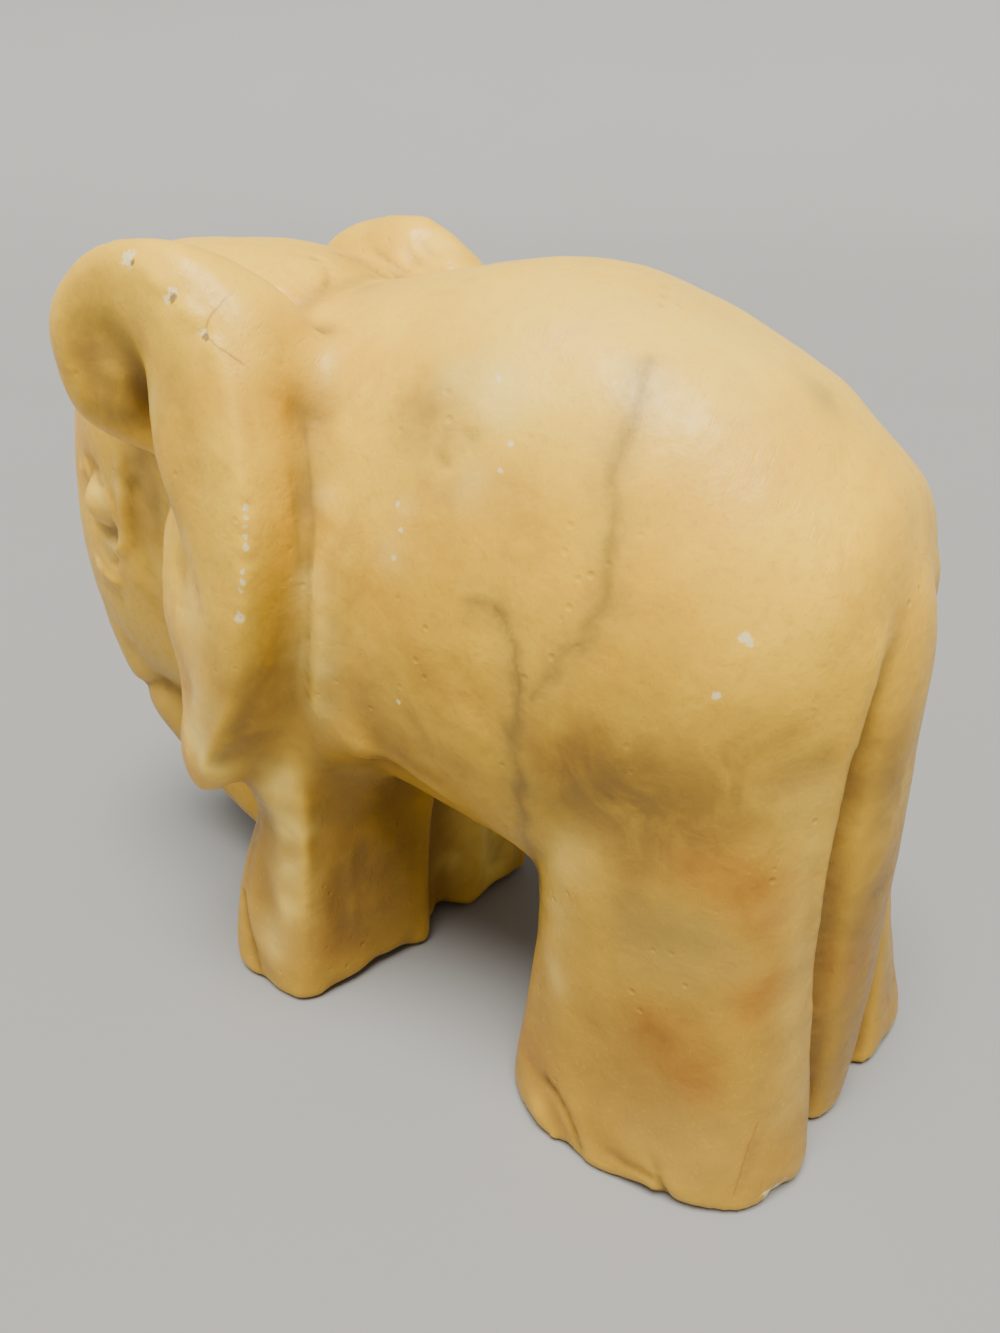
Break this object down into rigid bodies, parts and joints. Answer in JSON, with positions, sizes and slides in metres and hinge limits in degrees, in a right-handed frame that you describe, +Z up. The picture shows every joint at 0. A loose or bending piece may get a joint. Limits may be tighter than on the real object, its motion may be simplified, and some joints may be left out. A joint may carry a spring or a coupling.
{
  "type": "elephant statuette",
  "caption": "Standing elephant carved from one block of honey-yellow alabaster, with raised ears, a trunk curled back to the front feet and a tail band down to the ground.",
  "frame": {"origin": "middle of the figure's plan, on the ground under its feet", "axes": "+Z up, the elephant faces -Y, +X is towards its left side"},
  "size_m": [0.1036, 0.206, 0.1651],
  "materials": {
    "honey_alabaster": "hand-carved alabaster, waxed to a soft polish"
  },
  "bodies": {
    "root": {"elephant_statuette": "honey_alabaster"}
  },
  "joints": []
}
